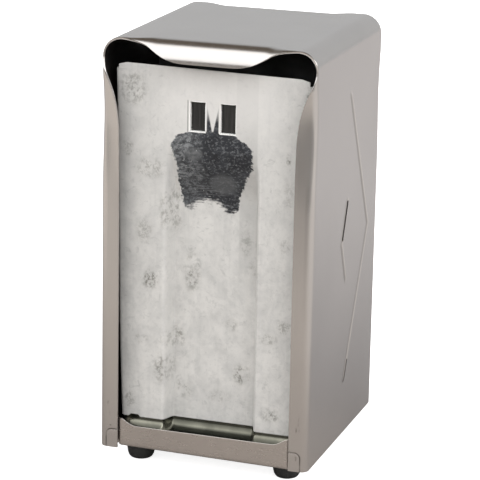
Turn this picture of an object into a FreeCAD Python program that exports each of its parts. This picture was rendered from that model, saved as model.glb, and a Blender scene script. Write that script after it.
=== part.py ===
"""Two-sided tall-fold napkin dispenser, built as a parametric FreeCAD document.

Row frame, in millimetres: +Z up, +X to the right, the front bay faces -Y.
The origin is on the table, midway between the four rubber feet.
"""
import FreeCAD, Part
import math
import os
import re

import Sketcher

V = FreeCAD.Vector
PLANE_X_FACING = "YZ_Plane"
PLANE_Y_FACING = "XZ_Plane"
PLANE_Z_FACING = "XY_Plane"
HALF_TURN = FreeCAD.Rotation(V(0, 0, 1), 180)

# Heights of the slits' ends from the middle of their chevrons.
INNER_SLIT = (1.5, 18.0)
OUTER_SLIT = (-56.0, -65.5)

DIMENSIONS = {
    # housing wrap: one sheet bent over the top and down both sides
    "width": 95.0,
    "depth": 102.0,
    "base_level": 8.5,
    "total_height": 190.5,
    "shell_gauge": 0.8,
    "corner_round": 8.5,
    "bend_round": 3.5,
    "flange_inset": 8.3,
    "flange_curve_low": 149.0,
    "flange_curve_round": 48.0,
    "flange_lean": 21.0,
    "lip_low": 181.9,
    "lip_half": 15.5,
    "lip_round": 14.0,
    "lip_lean": 38.0,
    "rib_width": 3.6,
    "rib_rise": 0.45,
    "rib_mid": 98.5,
    "rib_ends": -0.2,
    "outer_tip": 32.8,
    "outer_half": 66.0,
    "inner_tip": -8.2,
    "inner_half": 19.0,
    "slit_width": 2.8,
    "slit_inset": 0.4,
    # base tray and slide track
    "tray_gauge": 0.8,
    "tray_low": 9.2,
    "rail_setback": 0.8,
    "rail_top": 18.9,
    "rail_ear_top": 22.1,
    "rail_ear_inner": 39.0,
    "rail_dip_inner": 33.5,
    "tray_side_top": 16.0,
    "track_top": 15.4,
    "track_half": 24.0,
    "track_flange": 4.5,
    "track_end_gap": 2.0,
    # follower plates
    "plate_gauge": 0.7,
    "plate_face": 43.0,
    "plate_top": 177.5,
    "plate_half_top": 43.4,
    "plate_half_mid": 41.6,
    "plate_half_low": 39.6,
    "plate_mid": 151.5,
    "plate_corner": 1.6,
    "plate_bend": 5.0,
    "plate_flange": 7.0,
    "foot_reach": 49.1,
    "foot_low": 15.5,
    "channel_half": 19.9,
    "channel_deep": 6.5,
    "channel_top": 145.5,
    "channel_full": 126.0,
    "window_inner": 3.2,
    "window_outer": 10.3,
    "window_low": 151.3,
    "window_high": 164.4,
    # divider and springs
    "divider_gauge": 0.8,
    "divider_half": 40.0,
    "divider_top": 184.0,
    "divider_foot": 8.0,
    "spring_gauge": 0.5,
    "spring_width": 26.0,
    "spring_top": 170.0,
    "spring_low": 28.0,
    "spring_seat_half": 12.0,
    "spring_seat_mid": 96.0,
    "spring_bend": 9.0,
    "spring_back_gap": 0.4,
    # feet and fasteners
    "foot_x": 33.9,
    "foot_y": 35.0,
    "foot_radius": 6.25,
    "foot_tip_radius": 4.9,
    "foot_round": 2.2,
    "foot_bore": 1.5,
    "foot_recess_radius": 2.7,
    "foot_recess": 3.2,
    "rivet_radius": 1.4,
    "rivet_head_radius": 2.4,
    "rivet_head": 1.2,
    "washer_radius": 4.5,
    "washer_gauge": 0.8,
    "small_rivet_radius": 1.2,
    "small_head_radius": 2.3,
    "small_head": 0.9,
    "divider_rivet_pitch": 16.0,
    "spring_rivet_pitch": 12.0,
}

doc = FreeCAD.newDocument("napkin_dispenser")
sheet = doc.addObject("Spreadsheet::Sheet", "Dims")
for row, (alias, value) in enumerate(DIMENSIONS.items(), start=1):
    sheet.set("A%d" % row, alias)
    sheet.set("B%d" % row, str(value))
    sheet.setAlias("B%d" % row, alias)
doc.recompute()


def size(expression):
    """Value of an expression written with the sheet's aliases."""
    return float(sheet.evalExpression(expression))


def bound(expression):
    """The same expression as a document object outside the sheet reads it."""
    return re.sub("[a-z_]+", lambda word: "Dims." + word.group(), expression)


def new_body(label):
    body = doc.addObject("PartDesign::Body", label)
    body.Label = label
    return body


def sketch_on(body, plane_role, offset="0"):
    """A sketch on one of the body's own origin planes, shifted along its normal."""
    sketch = body.newObject("Sketcher::SketchObject", body.Name + "_sketch")
    plane = [f for f in body.Origin.OriginFeatures if f.Role == plane_role][0]
    sketch.AttachmentSupport = [(plane, "")]
    sketch.MapMode = "FlatFace"
    sketch.setExpression("AttachmentOffset.Base.z", bound(offset))
    doc.recompute()
    return sketch


def pin_point(sketch, geo, end, x_expression, y_expression):
    """Holds one end of a sketch element at coordinates bound to the sheet."""
    x_index = sketch.addConstraint(
        Sketcher.Constraint("DistanceX", -1, 1, geo, end, size(x_expression)))
    sketch.setExpression("Constraints[%d]" % x_index, bound(x_expression))
    y_index = sketch.addConstraint(
        Sketcher.Constraint("DistanceY", -1, 1, geo, end, size(y_expression)))
    sketch.setExpression("Constraints[%d]" % y_index, bound(y_expression))


def add_polygon(sketch, corners):
    """Closed outline of straight lines, every corner bound to the sheet."""
    first = sketch.GeometryCount
    spots = [V(size(x), size(y), 0) for x, y in corners]
    for here, there in zip(spots, spots[1:] + spots[:1]):
        sketch.addGeometry(Part.LineSegment(here, there), False)
    count = len(corners)
    for i, (x, y) in enumerate(corners):
        before = first + (i - 1) % count
        sketch.addConstraint(Sketcher.Constraint("Coincident", before, 2, first + i, 1))
        pin_point(sketch, first + i, 1, x, y)


def feature(body, kind, sketch, **settings):
    made = body.newObject("PartDesign::" + kind, body.Name + "_" + kind.lower())
    made.Profile = sketch
    for name, value in settings.items():
        setattr(made, name, value)
    return made


def pad(body, sketch, length, both_ways=False, backwards=False):
    made = feature(body, "Pad", sketch, Midplane=both_ways, Reversed=backwards)
    made.setExpression("Length", bound(length))
    doc.recompute()
    return made


def pocket(body, sketch, length, both_ways=False, backwards=False):
    before = body.Shape.Volume
    made = feature(body, "Pocket", sketch, Midplane=both_ways, Reversed=backwards)
    made.setExpression("Length", bound(length))
    doc.recompute()
    if made.Shape.Volume > before - 0.01:
        raise RuntimeError(body.Label + ": a pocket cuts nothing")
    return made


def round_edges(body, base, edge_names, radius):
    made = body.newObject("PartDesign::Fillet", body.Name + "_fillet")
    made.Base = (base, edge_names)
    made.setExpression("Radius", bound(radius))
    doc.recompute()
    return made


def edges_where(shape, test):
    """Names of the edges whose middle point passes the test."""
    names = []
    for number, edge in enumerate(shape.Edges, start=1):
        middle = edge.valueAt((edge.FirstParameter + edge.LastParameter) / 2)
        if test(edge, middle):
            names.append("Edge%d" % number)
    return names


def near(value, target):
    return abs(value - target) < 0.01


def mirror(body, originals, plane_role):
    made = body.newObject("PartDesign::Mirrored", body.Name + "_mirror")
    plane = [f for f in body.Origin.OriginFeatures if f.Role == plane_role][0]
    made.Originals = originals
    made.MirrorPlane = (plane, [""])
    body.Tip = made
    doc.recompute()
    return made


def along(edge, axis):
    """True for a straight edge that runs along the given axis."""
    if edge.Curve.TypeId != "Part::GeomLine":
        return False
    return abs(edge.Curve.Direction.dot(axis)) > 0.999


# ---------------------------------------------------------------- housing shell
def opening_outline(sketch):
    """Outline of the front opening: flange edges that sweep out to the sides
    at the top, and a centre lip whose ends sweep up to the top edge."""
    edge_x = size("width / 2 - flange_inset")
    start_z = size("flange_curve_low")
    sweep = size("flange_curve_round")
    lean = math.radians(size("flange_lean"))
    lip_z = size("lip_low")
    lip_half = size("lip_half")
    lip_round = size("lip_round")
    lip_lean = math.radians(size("lip_lean"))
    margin = 2.0
    bottom = size("base_level") - margin
    top = size("total_height") + margin
    out = size("width / 2") + margin

    curve_top = V(edge_x + sweep * (1 - math.cos(lean)), start_z + sweep * math.sin(lean), 0)
    curve_mid = V(edge_x + sweep * (1 - math.cos(lean / 2)),
                  start_z + sweep * math.sin(lean / 2), 0)
    side_z = curve_top.y + (out - curve_top.x) / math.tan(lean)
    lip_end = V(lip_half + lip_round * math.sin(lip_lean),
                lip_z + lip_round * (1 - math.cos(lip_lean)), 0)
    lip_mid = V(lip_half + lip_round * math.sin(lip_lean / 2),
                lip_z + lip_round * (1 - math.cos(lip_lean / 2)), 0)
    lip_top = V(lip_end.x + (top - lip_end.y) / math.tan(lip_lean), top, 0)

    def half(sign):
        def flip(p):
            return V(sign * p.x, p.y, 0)
        corners = [V(edge_x, bottom, 0), V(edge_x, start_z, 0)]
        return [
            Part.LineSegment(flip(corners[0]), flip(corners[1])),
            Part.Arc(flip(corners[1]), flip(curve_mid), flip(curve_top)),
            Part.LineSegment(flip(curve_top), flip(V(out, side_z, 0))),
            Part.LineSegment(flip(V(out, side_z, 0)), flip(V(out, top, 0))),
            Part.LineSegment(flip(V(out, top, 0)), flip(lip_top)),
            Part.LineSegment(flip(lip_top), flip(lip_end)),
            Part.Arc(flip(lip_end), flip(lip_mid), V(sign * lip_half, lip_z, 0)),
        ]

    for element in half(1) + half(-1):
        sketch.addGeometry(element, False)
    sketch.addGeometry(Part.LineSegment(V(-lip_half, lip_z, 0), V(lip_half, lip_z, 0)), False)
    sketch.addGeometry(Part.LineSegment(V(-edge_x, bottom, 0), V(edge_x, bottom, 0)), False)
    doc.recompute()


def chevron(sketch, tip_y, half_rise):
    """Closed outline of a narrow chevron about the mid height of the side."""
    low = "rib_mid - %s" % half_rise
    high = "rib_mid + %s" % half_rise
    add_polygon(sketch, [
        ("rib_ends", low), ("rib_ends + rib_width", low), ("%s + rib_width" % tip_y, "rib_mid"),
        ("rib_ends + rib_width", high), ("rib_ends", high), (tip_y, "rib_mid")])


def rib_slit(sketch, tip_y, half_rise, start, end):
    """Closed outline of a slit inside one arm of a chevron. Start and end are heights
    from the chevron's middle: positive on its upper arm, negative on its lower arm."""
    corners = []
    for rise, reach in ((start, abs(start)), (end, abs(end))):
        edge = "%s + ( rib_ends - %s ) * %s / %s + slit_inset" % (tip_y, tip_y, reach, half_rise)
        level = "rib_mid + %s" % rise
        pair = [(edge, level), (edge + " + slit_width", level)]
        corners += pair if rise == start else pair[::-1]
    add_polygon(sketch, corners)


def arch_block(body, inset, floor):
    """Solid block under the bent wrap, every face moved in by the inset."""
    outline = sketch_on(body, PLANE_Y_FACING)
    side = "width / 2 - %s" % inset
    ceiling = "total_height - %s" % inset
    add_polygon(outline, [("-1 * ( %s )" % side, floor), (side, floor),
                          (side, ceiling), ("-1 * ( %s )" % side, ceiling)])
    solid = pad(body, outline, "depth - 2 * %s" % inset, both_ways=True)
    top = size(ceiling)
    long_edges = edges_where(solid.Shape,
                             lambda e, m: along(e, V(0, 1, 0)) and near(m.z, top))
    solid = round_edges(body, solid, long_edges, "corner_round - %s" % inset)
    half_depth = size("depth / 2 - %s" % inset)
    low = size(floor)
    end_edges = edges_where(solid.Shape,
                            lambda e, m: near(abs(m.y), half_depth) and m.z > low + 0.01)
    return round_edges(body, solid, end_edges, "bend_round - %s" % inset)


def make_housing_shell():
    body = new_body("housing_shell")
    arch_block(body, "0", "base_level")
    hollow = new_body("housing_hollow")
    arch_block(hollow, "shell_gauge", "base_level - 1")
    cut = body.newObject("PartDesign::Boolean", "housing_shell_hollow")
    cut.Type = "Cut"
    cut.Group = [hollow]
    doc.recompute()

    front_cut = sketch_on(body, PLANE_Y_FACING, "depth / 2")
    opening_outline(front_cut)
    opened = pocket(body, front_cut, "bend_round")
    mirror(body, [opened], PLANE_Y_FACING)

    ribs = sketch_on(body, PLANE_X_FACING, "width / 2")
    chevron(ribs, "outer_tip", "outer_half")
    chevron(ribs, "inner_tip", "inner_half")
    raised = pad(body, ribs, "rib_rise")
    slits = sketch_on(body, PLANE_X_FACING, "width / 2 + rib_rise")
    rib_slit(slits, "inner_tip", "inner_half", INNER_SLIT[0], INNER_SLIT[1])
    rib_slit(slits, "outer_tip", "outer_half", OUTER_SLIT[0], OUTER_SLIT[1])
    slit = pocket(body, slits, "rib_rise + shell_gauge + 0.5")
    mirror(body, [raised, slit], PLANE_X_FACING)
    return body


# -------------------------------------------------------------------- base tray
def make_base_tray():
    """Low pan with a finger-dip rail across each open end of the housing."""
    body = new_body("base_tray")
    side = "width / 2 - shell_gauge"
    inner = "width / 2 - shell_gauge - tray_gauge"
    section = sketch_on(body, PLANE_Y_FACING)
    add_polygon(section, [
        ("-1 * ( %s )" % side, "tray_low"), (side, "tray_low"), (side, "tray_side_top"),
        (inner, "tray_side_top"), (inner, "tray_low + tray_gauge"),
        ("-1 * ( %s )" % inner, "tray_low + tray_gauge"),
        ("-1 * ( %s )" % inner, "tray_side_top"), ("-1 * ( %s )" % side, "tray_side_top")])
    pan = pad(body, section, "depth - 2 * rail_setback - 2 * bend_round", both_ways=True)

    rail = sketch_on(body, PLANE_Y_FACING, "depth / 2 - rail_setback")
    wall = "width / 2 - bend_round"
    add_polygon(rail, [
        ("-1 * ( %s )" % wall, "tray_low"), (wall, "tray_low"), (wall, "rail_ear_top"),
        ("rail_ear_inner", "rail_ear_top"), ("rail_dip_inner", "rail_top"),
        ("-rail_dip_inner", "rail_top"), ("-rail_ear_inner", "rail_ear_top"),
        ("-1 * ( %s )" % wall, "rail_ear_top")])
    front_rail = pad(body, rail, "tray_gauge", backwards=True)

    apron = sketch_on(body, PLANE_Y_FACING, "depth / 2 - rail_setback")
    add_polygon(apron, [("-1 * ( %s )" % wall, "tray_low"), (wall, "tray_low"),
                        (wall, "tray_low + tray_gauge"),
                        ("-1 * ( %s )" % wall, "tray_low + tray_gauge")])
    floor_end = pad(body, apron, "bend_round + tray_gauge", backwards=True)
    mirror(body, [front_rail, floor_end], PLANE_Y_FACING)

    holes = sketch_on(body, PLANE_Z_FACING)
    for x_sign in (1, -1):
        for y_sign in (1, -1):
            hole = holes.addGeometry(
                Part.Circle(V(x_sign * size("foot_x"), y_sign * size("foot_y"), 0),
                            V(0, 0, 1), size("foot_bore")), False)
            pin_point(holes, hole, 3, "%d * foot_x" % x_sign, "%d * foot_y" % y_sign)
            ring = holes.addConstraint(Sketcher.Constraint("Radius", hole, size("foot_bore")))
            holes.setExpression("Constraints[%d]" % ring, bound("foot_bore"))
    pocket(body, holes, "2 * tray_side_top", both_ways=True)
    return body


def make_slide_track():
    """Hat-shaped rail down the middle of the tray that the plate feet slide on."""
    body = new_body("slide_track")
    low = "tray_low + tray_gauge"
    skirt = "track_half + track_flange"
    inner = "track_half - tray_gauge"
    section = sketch_on(body, PLANE_Y_FACING)
    right = [(skirt, low), (skirt, low + " + tray_gauge"),
             ("track_half", low + " + tray_gauge"), ("track_half", "track_top")]
    left = [("-1 * ( %s )" % x, z) for x, z in reversed(right)]
    inside = [("-1 * ( %s )" % inner, low), ("-1 * ( %s )" % inner, "track_top - tray_gauge"),
              (inner, "track_top - tray_gauge"), (inner, low)]
    add_polygon(section, right + left + inside)
    pad(body, section, "depth - 2 * ( rail_setback + tray_gauge + track_end_gap )",
        both_ways=True)
    rivet_holes = sketch_on(body, PLANE_Z_FACING)
    small_holes(rivet_holes, divider_rivet_places())
    pocket(body, rivet_holes, "2 * track_top", both_ways=True)
    return body


# ------------------------------------------------------------- divider and rivets
def divider_rivet_places():
    return [("%d * divider_rivet_pitch" % step, "divider_gauge / 2 + divider_foot / 2")
            for step in (-1, 0, 1)]


def spring_rivet_places():
    return [("%s * spring_rivet_pitch / 2" % sign, "spring_seat_mid") for sign in (-1, 1)]


def small_holes(sketch, places):
    """Clearance holes for the small rivets."""
    for x, y in places:
        hole = sketch.addGeometry(
            Part.Circle(V(size(x), size(y), 0), V(0, 0, 1), size("small_rivet_radius")), False)
        pin_point(sketch, hole, 3, x, y)
        ring = sketch.addConstraint(
            Sketcher.Constraint("Radius", hole, size("small_rivet_radius")))
        sketch.setExpression("Constraints[%d]" % ring, bound("small_rivet_radius"))


def make_center_divider():
    """Upright partition with a bottom flange riveted to the slide track."""
    body = new_body("center_divider")
    wall = sketch_on(body, PLANE_Y_FACING)
    add_polygon(wall, [("-divider_half", "track_top"), ("divider_half", "track_top"),
                       ("divider_half", "divider_top"), ("-divider_half", "divider_top")])
    pad(body, wall, "divider_gauge", both_ways=True)
    seat = sketch_on(body, PLANE_Z_FACING, "track_top")
    add_polygon(seat, [("-track_half", "0"), ("track_half", "0"),
                       ("track_half", "divider_gauge / 2 + divider_foot"),
                       ("-track_half", "divider_gauge / 2 + divider_foot")])
    pad(body, seat, "divider_gauge")
    seat_holes = sketch_on(body, PLANE_Z_FACING)
    small_holes(seat_holes, divider_rivet_places())
    pocket(body, seat_holes, "2 * track_top + 4 * divider_gauge", both_ways=True)
    spring_holes = sketch_on(body, PLANE_Y_FACING)
    small_holes(spring_holes, spring_rivet_places())
    pocket(body, spring_holes, "4 * divider_gauge", both_ways=True)
    return body


def solid_feature(label, shape):
    made = doc.addObject("Part::Feature", label)
    made.Label = label
    made.Shape = shape
    return made


def rivet(place, axis, shank_radius, head_radius, head, grip):
    """A set rivet: a shank of the given grip between two domed heads."""
    shank = Part.makeCylinder(shank_radius, grip, place, axis)
    solid = shank
    for end, way in ((place, -1), (place + axis * grip, 1)):
        cap = Part.makeCone(head_radius, 0.6 * head_radius, head, end, axis * way)
        solid = solid.fuse(cap)
    return solid.removeSplitter()


def make_divider_rivets():
    low = size("track_top - tray_gauge")
    grip = size("tray_gauge + divider_gauge")
    return solid_feature("divider_rivets", Part.makeCompound([
        rivet(V(size(x), size(y), low), V(0, 0, 1), size("small_rivet_radius"),
              size("small_head_radius"), size("small_head"), grip)
        for x, y in divider_rivet_places()]))


def make_spring_rivets():
    grip = size("divider_gauge + 2 * spring_gauge")
    return solid_feature("spring_rivets", Part.makeCompound([
        rivet(V(size(x), -grip / 2, size(z)), V(0, 1, 0), size("small_rivet_radius"),
              size("small_head_radius"), size("small_head"), grip)
        for x, z in spring_rivet_places()]))


# --------------------------------------------------------------- follower plates
def make_follower_plate(label, placement):
    """Sheet plate with a recessed centre channel, a forward foot at the bottom,
    side flanges turned back, and two windows either side of a bridge."""
    body = new_body(label)
    face = "-plate_face"
    back = "plate_gauge - plate_face"
    sole = "foot_low + plate_gauge"
    side = sketch_on(body, PLANE_X_FACING)
    add_polygon(side, [(face, "plate_top"), (face, sole), ("-foot_reach", sole),
                       ("-foot_reach", "foot_low"), (back, "foot_low"), (back, "plate_top")])
    wing = pad(body, side, "2 * plate_half_top", both_ways=True)
    wing = bend_foot(body, wing, face, back)

    taper = sketch_on(body, PLANE_Y_FACING)
    beyond = "plate_half_top + 2"
    for sign in ("", "-"):
        add_polygon(taper, [
            ("%splate_half_low" % sign, "foot_low - 1"),
            ("%splate_half_mid" % sign, "plate_mid"),
            ("%splate_half_top" % sign, "plate_top - plate_corner"),
            ("%s1 * ( plate_half_top - plate_corner )" % sign, "plate_top"),
            ("%s1 * ( plate_half_top - plate_corner )" % sign, "plate_top + 1"),
            ("%s1 * ( %s )" % (sign, beyond), "plate_top + 1"),
            ("%s1 * ( %s )" % (sign, beyond), "foot_low - 1")])
    pocket(body, taper, "4 * plate_face", both_ways=True)

    gap = sketch_on(body, PLANE_Y_FACING)
    add_polygon(gap, [("-channel_half", "foot_low - 1"), ("channel_half", "foot_low - 1"),
                      ("channel_half", "channel_top"), ("-channel_half", "channel_top")])
    pocket(body, gap, "4 * plate_face", both_ways=True)

    deep = "channel_deep - plate_face"
    deep_back = deep + " + plate_gauge"
    channel = sketch_on(body, PLANE_X_FACING)
    add_polygon(channel, [
        (face, "channel_top"), (deep, "channel_full"), (deep, sole), ("-foot_reach", sole),
        ("-foot_reach", "foot_low"), (deep_back, "foot_low"), (deep_back, "channel_full"),
        (back, "channel_top")])
    floor = pad(body, channel, "2 * channel_half", both_ways=True)
    bend_foot(body, floor, deep, deep_back)

    for name, sign in (("right", 1), ("left", -1)):
        cheek = sketch_on(body, PLANE_X_FACING, "%d * channel_half" % sign)
        add_polygon(cheek, [(face, "channel_top"), (deep_back, "channel_full"),
                            (deep_back, "foot_low + plate_bend"),
                            ("%s - plate_bend" % deep_back, "foot_low"),
                            (face, "foot_low"), ("%s - plate_bend" % face, "foot_low"),
                            (face, "foot_low + plate_bend")])
        pad(body, cheek, "plate_gauge", backwards=sign < 0)

    lip = "plate_bend + foot_low + 1"
    flanges = sketch_on(body, PLANE_Y_FACING, "plate_face")
    for sign in ("", "-"):
        add_polygon(flanges, [
            ("%splate_half_low" % sign, lip), ("%splate_half_mid" % sign, "plate_mid"),
            ("%splate_half_top" % sign, "plate_top - 2 * plate_corner"),
            ("%s1 * ( plate_half_top - plate_gauge )" % sign, "plate_top - 2 * plate_corner"),
            ("%s1 * ( plate_half_mid - plate_gauge )" % sign, "plate_mid"),
            ("%s1 * ( plate_half_low - plate_gauge )" % sign, lip)])
    pad(body, flanges, "plate_flange", backwards=True)

    windows = sketch_on(body, PLANE_Y_FACING)
    for sign in ("", "-"):
        add_polygon(windows, [
            ("%swindow_inner" % sign, "window_low"), ("%swindow_outer" % sign, "window_low"),
            ("%swindow_outer" % sign, "window_high"), ("%swindow_inner" % sign, "window_high")])
    pocket(body, windows, "4 * plate_face", both_ways=True)
    body.Placement = placement
    return body


def bend_foot(body, base, face, back):
    """Rounds the inside and the outside of the bend between plate and foot."""
    inner = edges_where(base.Shape, lambda e, m: along(e, V(1, 0, 0)) and near(m.y, size(face))
                        and near(m.z, size("foot_low + plate_gauge")))
    bent = round_edges(body, base, inner, "plate_bend")
    outer = edges_where(bent.Shape, lambda e, m: along(e, V(1, 0, 0)) and near(m.y, size(back))
                        and near(m.z, size("foot_low")))
    return round_edges(body, bent, outer, "plate_bend + plate_gauge")


# ------------------------------------------------------------------- leaf springs
def rounded_path(corners, radius):
    """Wire of straight runs joined by tangent arcs of one radius."""
    edges = []
    start = corners[0]
    for before, corner, after in zip(corners, corners[1:], corners[2:]):
        way_in = (corner - before).normalize()
        way_out = (after - corner).normalize()
        turn = way_in.getAngle(way_out)
        setback = radius * math.tan(turn / 2)
        arc_start = corner - way_in * setback
        arc_end = corner + way_out * setback
        inward = (way_out - way_in).normalize()
        centre = corner + inward * (radius / math.cos(turn / 2))
        arc_middle = centre - inward * radius
        edges.append(Part.LineSegment(start, arc_start).toShape())
        edges.append(Part.Arc(arc_start, arc_middle, arc_end).toShape())
        start = arc_end
    edges.append(Part.LineSegment(start, corners[-1]).toShape())
    return Part.Wire(edges)


def make_leaf_spring(label, placement):
    """Bowed flat spring: its middle is riveted to the divider, and its two legs
    reach forward and bear on the back of the follower plate."""
    gauge = size("spring_gauge")
    seat = -size("divider_gauge / 2 + spring_gauge / 2")
    tip = size("plate_gauge - plate_face + spring_gauge / 2 + spring_back_gap")
    low_tip = tip + size("channel_deep")
    middle = size("spring_seat_mid")
    seat_half = size("spring_seat_half")
    top = size("spring_top")
    low = size("spring_low")
    tip_length = size("spring_top - window_low + 2")
    lead = 1.2
    corners = [V(0, tip, top), V(0, tip + lead, top - tip_length), V(0, seat, middle + seat_half),
               V(0, seat, middle - seat_half), V(0, low_tip + lead, low + tip_length / 2),
               V(0, low_tip, low)]
    path = rounded_path(corners, size("spring_bend"))
    half = size("spring_width / 2")
    start = corners[0]
    side_step = V(half, 0, 0)
    gauge_step = V(0, gauge / 2, 0)
    section = Part.makePolygon([start - side_step - gauge_step, start + side_step - gauge_step,
                                start + side_step + gauge_step, start - side_step + gauge_step,
                                start - side_step - gauge_step])
    strip = path.makePipeShell([section], True, False)
    for x, z in spring_rivet_places():
        hole = Part.makeCylinder(size("small_rivet_radius"), 4 * gauge,
                                 V(size(x), seat - 2 * gauge, size(z)), V(0, 1, 0))
        strip = strip.cut(hole)
    made = solid_feature(label, strip)
    made.Placement = placement
    return made


# ----------------------------------------------------------------- feet and rivets
def foot_places():
    return {"foot_front_left": (-1, -1), "foot_front_right": (1, -1),
            "foot_rear_left": (-1, 1), "foot_rear_right": (1, 1)}


def foot_centre(signs, level=0.0):
    return V(signs[0] * size("foot_x"), signs[1] * size("foot_y"), level)


def make_foot(label, signs):
    """Rubber bumper with a rounded tip and a recess for the rivet head."""
    body = new_body(label)
    profile = sketch_on(body, PLANE_Y_FACING)
    add_polygon(profile, [
        ("foot_bore", "foot_recess"), ("foot_recess_radius", "foot_recess"),
        ("foot_recess_radius", "0"), ("foot_tip_radius", "0"),
        ("foot_radius", "tray_low / 2"), ("foot_radius", "tray_low"),
        ("foot_bore", "tray_low")])
    turned = feature(body, "Revolution", profile, Angle=360.0)
    turned.ReferenceAxis = (profile, ["V_Axis"])
    doc.recompute()
    rim = edges_where(turned.Shape, lambda e, m: near(m.z, 0) and
                      near(math.hypot(m.x, m.y), size("foot_tip_radius")))
    round_edges(body, turned, rim, "foot_round / 2")
    body.Placement = FreeCAD.Placement(foot_centre(signs), FreeCAD.Rotation())
    return body


def make_foot_washers():
    level = size("tray_low + tray_gauge")
    rings = []
    for signs in foot_places().values():
        centre = foot_centre(signs, level)
        disc = Part.makeCylinder(size("washer_radius"), size("washer_gauge"), centre)
        rings.append(disc.cut(Part.makeCylinder(size("foot_bore"), size("washer_gauge"), centre)))
    return solid_feature("foot_washers", Part.makeCompound(rings))


def make_foot_rivets():
    low = size("foot_recess")
    grip = size("tray_low + tray_gauge + washer_gauge") - low
    return solid_feature("foot_rivets", Part.makeCompound([
        rivet(foot_centre(signs, low), V(0, 0, 1), size("rivet_radius"),
              size("rivet_head_radius"), size("rivet_head"), grip)
        for signs in foot_places().values()]))


# ------------------------------------------------------------------ the assembly
def build_all():
    here = FreeCAD.Placement()
    turned = FreeCAD.Placement(V(0, 0, 0), HALF_TURN)
    pieces = [make_housing_shell(), make_base_tray(), make_slide_track(),
              make_center_divider(), make_divider_rivets(), make_spring_rivets(),
              make_follower_plate("front_follower_plate", here),
              make_follower_plate("rear_follower_plate", turned),
              make_leaf_spring("front_leaf_spring", here),
              make_leaf_spring("rear_leaf_spring", turned),
              make_foot_washers(), make_foot_rivets()]
    pieces += [make_foot(label, signs) for label, signs in foot_places().items()]
    return pieces


def check_and_export(pieces):
    doc.recompute()
    for obj in doc.Objects:
        if "Invalid" in obj.State or "Error" in obj.State:
            raise RuntimeError(obj.Name + " did not recompute")
    os.makedirs("parts", exist_ok=True)
    for piece in pieces:
        if piece.Shape.isNull() or not piece.Shape.isValid():
            raise RuntimeError(piece.Label + " has no valid shape")
        piece.Shape.exportStep("parts/%s.step" % piece.Label)
        box = piece.Shape.BoundBox
        print("%-22s %10.1f mm3  solids %d  x %.1f %.1f  y %.1f %.1f  z %.1f %.1f" % (
            piece.Label, piece.Shape.Volume, len(piece.Shape.Solids),
            box.XMin, box.XMax, box.YMin, box.YMax, box.ZMin, box.ZMax))


check_and_export(build_all())
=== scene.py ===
from math import copysign, cos, exp, hypot, pi, radians, sin

import bmesh
import bpy
from mathutils import Matrix, Vector


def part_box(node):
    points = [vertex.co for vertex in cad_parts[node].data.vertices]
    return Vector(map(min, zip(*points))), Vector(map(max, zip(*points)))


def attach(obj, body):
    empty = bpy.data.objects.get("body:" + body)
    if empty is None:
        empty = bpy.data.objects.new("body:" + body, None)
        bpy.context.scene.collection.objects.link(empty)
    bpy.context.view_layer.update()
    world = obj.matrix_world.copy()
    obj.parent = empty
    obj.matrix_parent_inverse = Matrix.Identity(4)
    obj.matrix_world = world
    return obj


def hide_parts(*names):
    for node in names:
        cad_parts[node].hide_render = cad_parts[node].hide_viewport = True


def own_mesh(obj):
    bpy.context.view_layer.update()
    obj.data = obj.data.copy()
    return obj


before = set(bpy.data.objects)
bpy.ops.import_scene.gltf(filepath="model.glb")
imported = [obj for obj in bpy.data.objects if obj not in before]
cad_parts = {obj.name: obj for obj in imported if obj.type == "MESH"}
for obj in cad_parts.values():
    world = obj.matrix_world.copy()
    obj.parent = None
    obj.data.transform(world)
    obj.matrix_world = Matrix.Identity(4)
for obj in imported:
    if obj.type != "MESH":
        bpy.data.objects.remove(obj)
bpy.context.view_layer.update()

MM = 0.001
QUARTER = pi / 2


# ---- small helpers
def clamp(value, low=0.0, high=1.0):
    return max(low, min(high, value))


def smooth(value):
    """Smooth step from 0 to 1."""
    u = clamp(value)
    return u * u * (3 - 2 * u)


def within(value, span):
    """Whether a value lies in a span, ends included."""
    return span[0] - 0.01 < value < span[1] + 0.01


def steps(start, end, count):
    """Evenly spaced values from start to end, both included."""
    return [start + (end - start) * i / (count - 1) for i in range(count)]


def stepped(stops, counts):
    """One row of values through all the stops, evenly spaced between each two."""
    row = []
    for start, end, count in zip(stops, stops[1:], counts):
        row += steps(start, end, count)[:-1]
    return row + [stops[-1]]


def curve_through(points, where):
    """Height at 'where' of a smooth curve through points sorted by their first value."""
    if where <= points[0][0]:
        return points[0][1]
    if where >= points[-1][0]:
        return points[-1][1]
    last = len(points) - 1
    i = max(k for k in range(last) if points[k][0] <= where)
    x0, y0 = points[i]
    x1, y1 = points[i + 1]
    before = points[max(i - 1, 0)]
    after = points[min(i + 2, last)]
    span = x1 - x0
    slope_in = (y1 - before[1]) / max(x1 - before[0], 1e-9)
    slope_out = (after[1] - y0) / max(after[0] - x0, 1e-9)
    u = (where - x0) / span
    blend_a = (1 + 2 * u) * (1 - u) ** 2
    blend_b = u * (1 - u) ** 2
    blend_c = u * u * (3 - 2 * u)
    blend_d = u * u * (u - 1)
    return y0 * blend_a + slope_in * span * blend_b + y1 * blend_c + slope_out * span * blend_d


def add_object(name, data):
    made = bpy.data.objects.new(name, data)
    bpy.context.scene.collection.objects.link(made)
    return made


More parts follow.
